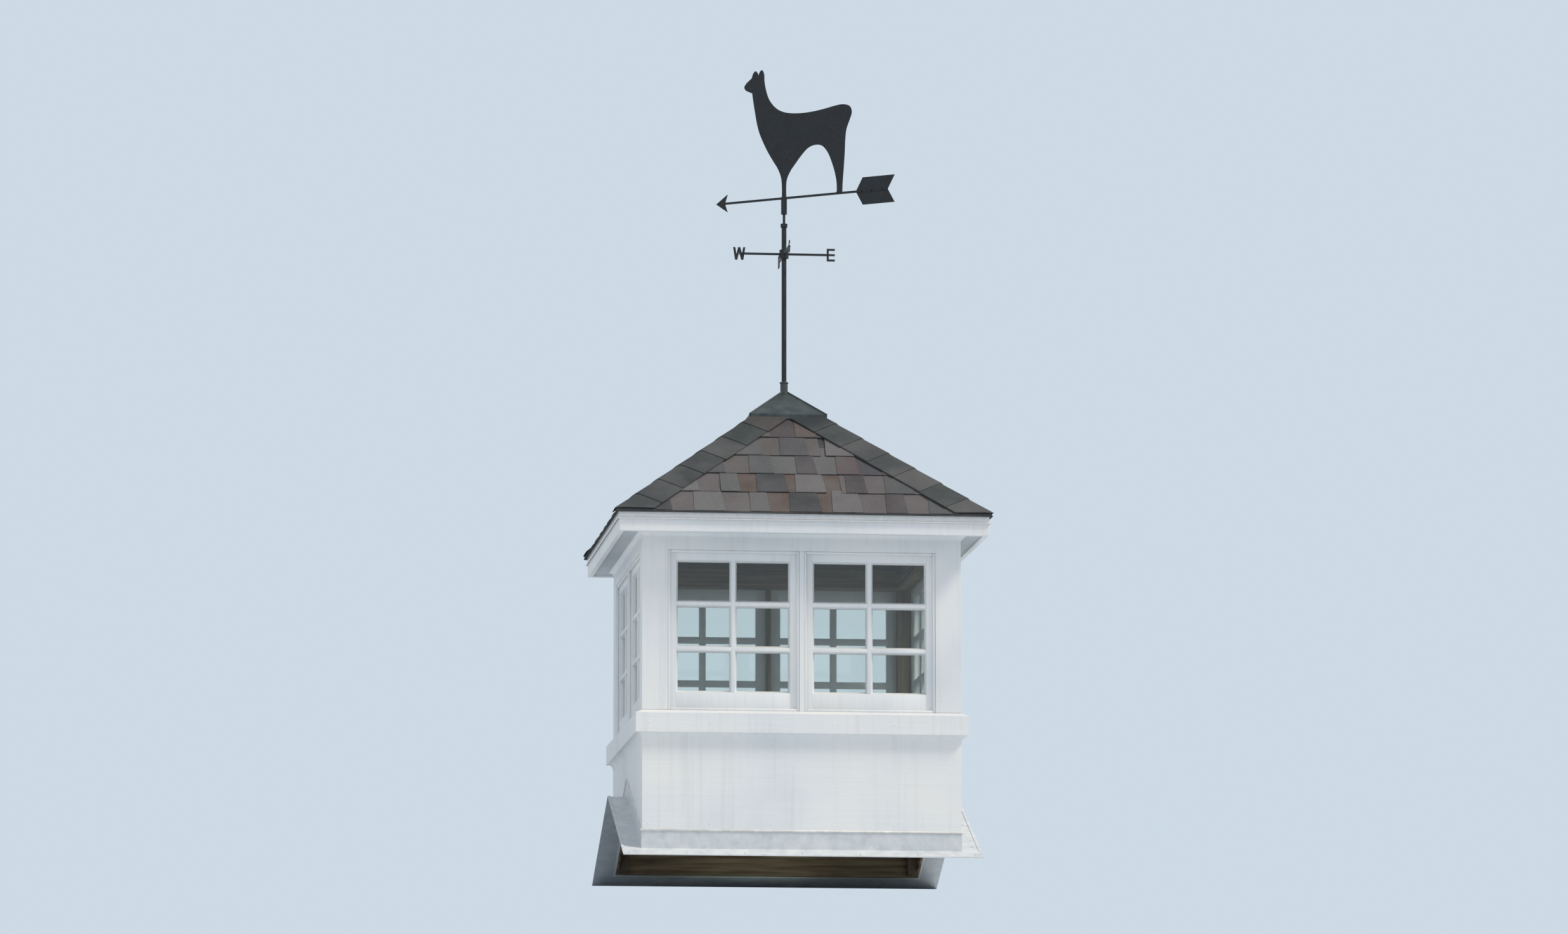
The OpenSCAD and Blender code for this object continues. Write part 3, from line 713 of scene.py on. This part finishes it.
def asphalt_shingle(name, tones):
    """Stone granules pressed into asphalt: dead matt and rough. Each tab takes one tone of the
    blend, and the granules are drawn 2 mm across, coarser than real, so that they show."""
    finish, tree, place = new_finish(name)
    tone = add(tree, "ShaderNodeAttribute", attribute_name="tone").outputs["Fac"]
    blend = add(tree, RAMP, {0: tone}, tones)
    granules = add(tree, NOISE, {"Vector": place, "Scale": per_metre(2), "Detail": 2})
    grains = add(tree, RANGE, {"Value": granules, "From Min": 0.3, "From Max": 0.7,
                               "To Min": 0.55, "To Max": 1.5})
    stones = add(tree, MIX, {0: 1.0, 6: blend, 7: grains}, data_type="RGBA",
                 blend_type="MULTIPLY").outputs[2]
    patches = add(tree, NOISE, {"Vector": place, "Scale": per_metre(200), "Detail": 4})
    faded = add(tree, RANGE, {"Value": patches, "From Min": 0.4, "From Max": 0.7, "To Max": 0.4})
    colour = add(tree, MIX, {0: faded, 6: stones, 7: linear("#787676")}, data_type="RGBA").outputs[2]
    bump = add(tree, BUMP, {"Height": granules, "Strength": 0.9, "Distance": 0.0015})
    skin = add(tree, SURFACE,
               {"Base Color": colour, "Roughness": 0.95, "Normal": bump, "Specular IOR Level": 0.3})
    add(tree, OUTPUT, {0: skin})
    return finish


shingle_blend = asphalt_shingle("laminated asphalt shingle", [
    (0.0, "#34373a"), (0.18, "#4b4e50"), (0.36, "#5f6061"), (0.5, "#584c46"), (0.64, "#47474c"),
    (0.82, "#6d6e6e"), (1.0, "#5a5153")])
slope_up = slope_frame(EAVE, EAVE_LEVEL)
slope_length = (EAVE - TOP_OPENING) / COS
courses = math.ceil((slope_length - FIRST_BUTT) / EXPOSURE)
course_starts = [FIRST_BUTT + EXPOSURE * k for k in range(courses)]


def course_rows(starts, rise, spacing, step, ahead):
    """A row along each butt line. Each begins a step further out than the last, modulo the spacing
    of its strips, so that their joints are staggered up the slope."""
    return rows_mesh([((-EAVE - (ahead + step * s / EXPOSURE) % spacing, s, rise), (EAVE, s, rise))
                      for s in starts])


for i, side in enumerate(SIDES):
    work = bmesh.new()
    # The first course lies flat on the starter strip. The others rest on the one below.
    for starts, rise, tilt in ((course_starts[:1], UNDERLAY, 0.0),
                               (course_starts[1:], LAP_RISE, -TILT)):
        same = {"thickness": SHEET_T, "tilt": tilt, "columns": 2, "finish": shingle_blend}
        rows = course_rows(starts, rise, SHEET_PITCH, SHEET_STEP, SHEET_START * i)
        work.from_mesh(grown("sheets", rows, laid, spacing=SHEET_PITCH,
                             narrowest=SHEET_PITCH - SHEET_GAPS[1],
                             widest=SHEET_PITCH - SHEET_GAPS[0], length=2 * EXPOSURE,
                             seed=SHEET_SEED + SEED_STEP * i, **same))
        rows = course_rows(starts, rise + SHEET_T, TAB_PITCH, TAB_STEP, TAB_START * i)
        work.from_mesh(grown("tabs", rows, laid, spacing=TAB_PITCH, slide=TAB_SLIDE,
                             narrowest=TAB_WIDTHS[0], widest=TAB_WIDTHS[1], length=EXPOSURE + TAB_LAP,
                             ragged=TAB_RAGGED, taper=TAB_TAPER,
                             seed=TAB_SEED + SEED_STEP * i, **same))
    slope_board(work, EAVE, STARTER_EDGE, slope_length, 0, UNDERLAY)
    bmesh.ops.transform(work, matrix=slope_up, verts=work.verts)
    trim(work, [((0, 0, 0), (1, 1, 0)), ((0, 0, 0), (-1, 1, 0)), ((0, -TOP_OPENING, 0), (0, 1, 0)),
                ((0, -EAVE, 0), (0, -1, 0))])
    made = mesh_of(work, turned=i * math.pi / 2)
    new_piece(f"shingle_courses_{side}", made, shingle_blend, slot="asphalt_shingle",
              stands_for=[f"shingles_{side}"])

# Hip caps: shingles cut in three and folded over the hips, each lapped over the one below, from
# the eaves to the sheet-metal cap. They are nailed under the laps.
CAP_WIDTHS = (0.209, 0.215)
CAP_LONG = 0.235
CAP_T = 0.003
CAP_CREASE = 0.006
CAP_LIFT = 0.015
CAP_SLIDE = 0.002
CAP_TAPER = 0.04
CAP_START = 0.003
CAP_COLUMNS = 11                # points across one cap, so that it can fold
CAP_SEED = 70
CAP_END = 0.080                 # out of sight under the metal cap, measured level from the middle
# Their blend is darker than the field's: painted shade along the hips
hip_blend_with_painted_shade = asphalt_shingle("hip cap shingle darkened as painted shade", [
    (0.0, "#2f3436"), (0.35, "#3f4546"), (0.6, "#4a4c4d"), (0.8, "#443f3e"), (1.0, "#555858")])
left_square = Vector((-SIN, 0, COS))
front_square = Vector((0, -SIN, COS))
hip_up = Vector((1, 1, ROOF_RISE)).normalized()
hip_out = (left_square + front_square).normalized()
hip_side = hip_up.cross(hip_out)
side_fall = left_square.cross(hip_up)
FOLD = abs(side_fall.dot(hip_out) / side_fall.dot(hip_side))
lift = CAP_LIFT / hip_out.dot(front_square) - FOLD * CAP_CREASE
hip_turn = Matrix((hip_side, hip_up, hip_out)).transposed().to_4x4()
to_hip = Matrix.Translation((-EAVE, -EAVE, EAVE_LEVEL)) @ hip_turn
work = bmesh.new()
for i in range(4):
    rows = rows_mesh([((0, CAP_START, lift), (0, CAP_START + EAVE / hip_up.x, lift))])
    caps = grown("caps", rows, laid, spacing=EXPOSURE, slide=CAP_SLIDE, narrowest=CAP_WIDTHS[0],
                 widest=CAP_WIDTHS[1], length=CAP_LONG, thickness=CAP_T,
                 tilt=-math.atan(CAP_T / EXPOSURE), taper=CAP_TAPER, fold=FOLD, crease=CAP_CREASE,
                 columns=CAP_COLUMNS, seed=CAP_SEED + SEED_STEP * i, finish=hip_blend_with_painted_shade)
    # Cut off at the eaves, at the middle of each slope, and under the metal cap
    one_hip = bmesh.new()
    one_hip.from_mesh(caps)
    bmesh.ops.transform(one_hip, matrix=to_hip, verts=one_hip.verts)
    trim(one_hip, [((-EAVE, 0, 0), (-1, 0, 0)), ((0, -EAVE, 0), (0, -1, 0)), ((0, 0, 0), (1, 0, 0)),
                   ((0, 0, 0), (0, 1, 0)), ((-CAP_END, -CAP_END, 0), (1, 1, 0))])
    one_hip.to_mesh(caps)
    one_hip.free()
    caps.transform(Matrix.Rotation(i * math.pi / 2, 4, "Z"))
    work.from_mesh(caps)
new_piece("hip_caps", mesh_of(work, smooth=30), hip_blend_with_painted_shade, slot="asphalt_shingle")

# Peak cap, mast, arms and vane: steel, black enamel over forged and cut pieces, dulled by weather.
# The cap's hips are rolled, and a bead of sealant closes its collar on the mast.
MAST_RADIUS = 0.0095
COLLAR = 0.0146
METAL_CAP_RIM = 0.018
ROLL = 0.0035
ROLL_FOOT = 0.010               # how far a roll turns down the rim
ROLL_LEAN = 0.01                # off plumb there
ROLL_THIN = 0.8                 # of its radius, at its foot
ROLL_BEND = 1.5                 # rise in one of its way over the rim
ROLL_TOP = 0.7 * COLLAR         # where it runs in under the collar's seal
SEAL = 0.004
TUBE_SIDES = 8
RING_STEPS = 24


def black_enamel(name, body="#14181b", worn="#24292c", rust=0.06):
    """Enamelled steel after years on a roof: a low sheen, chalky patches, and rust in pinholes."""
    finish, tree, place = new_finish(name)
    cloud = add(tree, NOISE, {"Vector": place, "Scale": per_metre(40), "Detail": 5})
    coat = add(tree, RAMP, {0: cloud}, [(0.35, body), (0.7, worn)])
    pits = add(tree, NOISE, {"Vector": place, "Scale": per_metre(7), "Detail": 3})
    rusty = add(tree, RANGE, {"Value": pits, "From Min": 0.66 - rust, "From Max": 0.78,
                              "To Max": 0.8})
    colour = add(tree, MIX, {0: rusty, 6: coat, 7: linear("#5d3b28")}, data_type="RGBA").outputs[2]
    dull = add(tree, RANGE, {"Value": cloud, "From Min": 0.3, "From Max": 0.7,
                             "To Min": 0.38, "To Max": 0.62})
    hammer = add(tree, MATH, {0: cloud, 1: rusty}, operation="SUBTRACT")
    bump = add(tree, BUMP, {"Height": hammer, "Strength": 0.5, "Distance": 0.0008})
    skin = add(tree, SURFACE,
               {"Base Color": colour, "Metallic": 0.25, "Roughness": dull, "Normal": bump})
    add(tree, OUTPUT, {0: skin})
    return finish


iron = black_enamel("weathered black enamel on steel")
cap_coat = black_enamel("dark enamelled roof sheet", "#30383a", "#47504f", 0.0)
for node in ("mast", "direction_arms", "vane_arrow", "vane_figure"):
    finish_node(node, iron)
finish_node("peak_cap", cap_coat)


def even_angles(count):
    """This many angles, evenly round a circle."""
    return [2 * math.pi * k / count for k in range(count)]


def tube_frame(at, along, radius):
    """A frame for a round profile at a point on a tube, square to its direction."""
    side = Vector(along).cross((0, 0, 1)).normalized()
    over = side.cross(Vector(along)).normalized()
    return lambda p: Vector(at) + radius * (p[0] * side + p[1] * over)


def seal_frame(angle, level, radius, thick):
    """A frame for a round profile on a ring about the mast."""
    return lambda p: ((radius + thick * p[0]) * math.cos(angle),
                      (radius + thick * p[0]) * math.sin(angle), level + thick * p[1])


circle = [(math.cos(a), math.sin(a)) for a in even_angles(TUBE_SIDES)]
cap_low, cap_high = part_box("peak_cap")
CAP_REACH = cap_high.x
rim_top = cap_low.z + METAL_CAP_RIM
peak_top = rim_top + CAP_REACH * ROOF_RISE
work = bmesh.new()
for tx, ty in TURNS:
    start = Vector((tx * CAP_REACH, ty * CAP_REACH, rim_top))
    end = Vector((tx * ROLL_TOP, ty * ROLL_TOP, peak_top - ROLL_TOP * ROOF_RISE))
    down = Vector((tx * CAP_REACH, ty * CAP_REACH, rim_top - ROLL_FOOT))
    seam = [(down, (ROLL_LEAN * tx, ROLL_LEAN * ty, 1), ROLL_THIN * ROLL),
            (start, (-tx, -ty, ROLL_BEND), ROLL), (end, end - start, ROLL)]
    swept(work, circle, [tube_frame(*s) for s in seam])
new_piece("cap_rolls", mesh_of(work, smooth=60), cap_coat, slot="dark_metal")

work = bmesh.new()
for level, radius in ((peak_top - COLLAR * ROOF_RISE, COLLAR), (cap_high.z, MAST_RADIUS + SEAL)):
    swept(work, circle, [seal_frame(a, level, radius, SEAL) for a in even_angles(RING_STEPS)],
          closed=True)
new_piece("collar_seal", mesh_of(work, smooth=60), cap_coat, slot="dark_metal")

# Painted nails: galvanised heads in rows along the boards that they hold, punched in and painted
# over, so each shows as a low dome in the paint.
NAIL_SPACING = 0.20
NAIL_RADIUS = 0.0042
NAIL_RISE = 0.0008
INSET = 0.025                   # of a nail from its board's edge
FRONT_FACING = (0, -1, 0)
NOSE = -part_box("sill_front")[0].y
NOSE_HALF = 0.037
fascia_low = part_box("fascia_front")[0]
FASCIA = -fascia_low.y

domes, given = new_tree("heads in rows", Geometry="Rows", Float="Spacing Radius Rise",
                        Material="Finish")
spots = steps_along(domes, given)
facing = add(domes, "GeometryNodeInputNamedAttribute", {"Name": "facing"}, data_type="FLOAT_VECTOR")
turn = add(domes, "FunctionNodeAlignRotationToVector", {"Vector": facing}, axis="Z")
ball = add(domes, "GeometryNodeMeshUVSphere", {"Segments": 10, "Rings": 6, "Radius": 1.0})
size = add(domes, "ShaderNodeCombineXYZ", {0: given["Radius"], 1: given["Radius"], 2: given["Rise"]})
placed = add(domes, "GeometryNodeInstanceOnPoints",
             {"Points": spots, "Instance": ball, "Rotation": turn, "Scale": size})
whole = add(domes, "GeometryNodeRealizeInstances", {0: placed})
smooth = add(domes, "GeometryNodeSetShadeSmooth", {0: whole})
painted = add(domes, "GeometryNodeSetMaterial", {0: smooth, "Material": given["Finish"]})
add(domes, "NodeGroupOutput", {0: painted})


def heads(name, rows, spacing, radius, rise, finish, **riding):
    """A piece with a dome at each step along rows of (start, end, facing)."""
    mesh = rows_mesh([row[:2] for row in rows])
    facing = mesh.attributes.new("facing", "FLOAT_VECTOR", "POINT")
    for k, row in enumerate(rows):
        for end in (2 * k, 2 * k + 1):
            facing.data[end].vector = row[2]
    made = grown(name, mesh, domes, spacing=spacing, radius=radius, rise=rise, finish=finish)
    new_piece(name, made, finish, **riding)


def on_sides(rows, sides=(0, 1, 2, 3)):
    """Rows drawn for the front, turned to each of these sides."""
    turned = []
    for i in sides:
        turn_by = Matrix.Rotation(i * math.pi / 2, 3, "Z")
        turned += [tuple(turn_by @ Vector(v) for v in row) for row in rows]
    return turned


def level_row(reach, out, z):
    """A level row on the front, this far to each side and this far out."""
    return ((-reach, -out, z), (reach, -out, z), FRONT_FACING)


def post_row(hand):
    """A row up the front of a corner post."""
    x = hand * (POST_IN + INSET)
    return ((x, -WALL, SILL_TOP + 2 * INSET), (x, -WALL, SOFFIT - 2 * INSET), FRONT_FACING)


wood_rows = on_sides([
    level_row(WALL - INSET, WALL, SILL_UNDER - 2 * INSET),
    level_row(NOSE - 2 * INSET, NOSE, SILL_UNDER + NOSE_HALF),
    level_row(FASCIA - 2 * INSET, FASCIA, fascia_low.z + INSET), post_row(-1), post_row(1),
    level_row(POST_IN - INSET, WALL, (HEADER + SOFFIT) / 2)])
wood_rows += on_sides([level_row(WALL - INSET, WALL, UPSTAND_TOP + INSET)], (0, 2))
heads("painted_nails", wood_rows, NAIL_SPACING, NAIL_RADIUS, NAIL_RISE, level_paint,
      slot="white_paint")

# Roofing nails: aluminium, with broad domed heads. They hold the flashing's flanges down just
# inside the hem, square to the slope.
SADDLE_RISE = 5 / 12
FLANGE_T = 0.0014
ROOF_NAIL_RADIUS = 0.0065
ROOF_NAIL_RISE = 0.003
HEM_INSET = 0.026
NAILS_FROM, NAILS_TO = 0.56, 0.04    # up a side flange, from its foot to the fold
FLANGE_EDGE = -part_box("flashing_front")[0].y
nail_out = FLANGE_EDGE - HEM_INSET


def on_flange(out):
    """The level of the flange's top at this reach."""
    return (FLANGE_EDGE - out) * SADDLE_RISE + FLANGE_T


nail_level = on_flange(nail_out)
flange_rows = on_sides([((-nail_out, -nail_out, nail_level), (nail_out, -nail_out, nail_level),
                         Vector((0, -SADDLE_RISE, 1)).normalized())], (0, 2))
for hand in (-1, 1):
    for end in (-1, 1):
        flange_rows.append(((hand * nail_out, end * NAILS_FROM, on_flange(NAILS_FROM)),
                            (hand * nail_out, end * NAILS_TO, on_flange(NAILS_TO)),
                            Vector((0, end * SADDLE_RISE, 1)).normalized()))
heads("flange_nails", flange_rows, NAIL_SPACING, ROOF_NAIL_RADIUS, ROOF_NAIL_RISE, sheet_metal,
      slot="flashing_sheet")

# Rivets through the arrow's plates, a weld under each of the llama's feet, and set screws in the
# hub of the arms. The vane's own turn is read from where its tail lies.
BAR_HALF = 0.004
PLATE_HALF = 0.002
RIVET_ROWS = ((0.340, 0.430), (-0.256, -0.246))
RIVET_SPACING = 0.045
RIVET_RADIUS, RIVET_RISE = 0.0035, 0.0025
WELD_ROWS = ((-0.007, 0.008), (0.234, 0.254))
WELD_SPACING = 0.0045
WELD_RADIUS, WELD_RISE = 0.0030, 0.0032
HUB = 0.0178
SCREW_RADIUS = 0.004
SCREW_UP = 0.011                # above the arms
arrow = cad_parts["vane_arrow"].data
tail = max((v.co for v in arrow.vertices), key=lambda co: co.xy.length)
TAIL = Vector((tail.x, tail.y, 0)).normalized()
SQUARE = Vector((-TAIL.y, TAIL.x, 0))
BAR_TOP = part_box("vane_figure")[0].z
BAR_LEVEL = BAR_TOP - BAR_HALF


def vane_rows(spans, out, level):
    """Rows on both faces of the vane, between distances from the mast towards the tail."""
    rows = []
    for face in (-1, 1):
        at = face * out * SQUARE + Vector((0, 0, level))
        rows += [(first * TAIL + at, last * TAIL + at, face * SQUARE) for first, last in spans]
    return rows


heads("vane_rivets", vane_rows(RIVET_ROWS, BAR_HALF, BAR_LEVEL), RIVET_SPACING, RIVET_RADIUS,
      RIVET_RISE, iron, body="vane", slot="vane_metal")
heads("foot_welds", vane_rows(WELD_ROWS, PLATE_HALF, BAR_TOP), WELD_SPACING, WELD_RADIUS,
      WELD_RISE, iron, body="vane", slot="vane_metal")

arms_low, arms_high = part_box("direction_arms")
arms_level = (arms_low.z + arms_high.z) / 2
screw_rows = []
# One on each side, between two arms
for k in range(2):
    out = Matrix.Rotation(math.pi / 4 + k * math.pi, 3, "Z") @ Vector(FRONT_FACING)
    at = out * HUB + Vector((0, 0, arms_level + SCREW_UP))
    screw_rows.append((at, at + Vector((0, 0, SCREW_RADIUS)), out))
heads("hub_screws", screw_rows, 2 * SCREW_RADIUS, SCREW_RADIUS, SCREW_RADIUS, iron,
      slot="dark_metal")

# Stage: a plain pale floor, seen only from above because the view is from below it, a pale
# blue-grey background, a soft key light high on the right, and a weaker one on the left.
FLOOR_REACH = 80
FLOOR_LEVEL = -0.0005
LAMP_RANGE = 6


def pale_floor(name):
    """Matt pale floor. The camera sees through it from below, and every other ray meets it."""
    finish, tree, _ = new_finish(name)
    matt = add(tree, "ShaderNodeBsdfDiffuse", {0: linear("#d2dbe3")})
    clear = add(tree, "ShaderNodeBsdfTransparent")
    under = add(tree, "ShaderNodeNewGeometry").outputs["Backfacing"]
    seen = add(tree, "ShaderNodeLightPath").outputs["Is Camera Ray"]
    hidden = add(tree, MATH, {0: under, 1: seen}, operation="MULTIPLY")
    shown = add(tree, "ShaderNodeMixShader", {0: hidden, 1: matt, 2: clear})
    add(tree, OUTPUT, {0: shown})
    return finish


def lamp(name, azimuth, elevation, strength, spread, colour):
    """A sun that shines from this azimuth, measured from the front towards the right."""
    around = math.radians(azimuth)
    raised = math.radians(elevation)
    sun = bpy.data.lights.new(name, "SUN")
    sun.energy = strength
    sun.angle = math.radians(spread)
    sun.color = linear(colour)[:3]
    shining = in_scene(name, sun)
    from_way = Vector((math.sin(around) * math.cos(raised), -math.cos(around) * math.cos(raised),
                       math.sin(raised)))
    shining.location = LAMP_RANGE * from_way
    shining.rotation_euler = from_way.to_track_quat("Z", "Y").to_euler()


floor_mesh = bpy.data.meshes.new("floor")
floor_corners = [(x * FLOOR_REACH, y * FLOOR_REACH, FLOOR_LEVEL) for x, y in TURNS]
floor_mesh.from_pydata(floor_corners, [], [(0, 1, 2, 3)])
floor_mesh.materials.append(pale_floor("pale floor"))
in_scene("floor", floor_mesh)

world = bpy.data.worlds.new("pale background")
world.use_nodes = True
sky = world.node_tree
sky.nodes.clear()
ray = add(sky, "ShaderNodeLightPath").outputs
mirrored = add(sky, MATH, {0: ray["Is Glossy Ray"], 1: ray["Is Transmission Ray"]},
               operation="MAXIMUM")
seen = add(sky, MATH, {0: ray["Is Camera Ray"], 1: mirrored}, operation="MAXIMUM")
soft = add(sky, "ShaderNodeBackground", {"Color": linear("#edf3fa"), "Strength": 0.46})
pale = add(sky, "ShaderNodeBackground", {"Color": linear("#cddae5"), "Strength": 1.0})
shown = add(sky, "ShaderNodeMixShader", {0: seen, 1: soft, 2: pale})
add(sky, "ShaderNodeOutputWorld", {0: shown})
bpy.context.scene.world = world
lamp("key", azimuth=68, elevation=50, strength=2.5, spread=14, colour="#fff7ed")
lamp("fill", azimuth=-32, elevation=26, strength=0.45, spread=60, colour="#f2f6ff")
bpy.context.scene.view_settings.view_transform = "Standard"
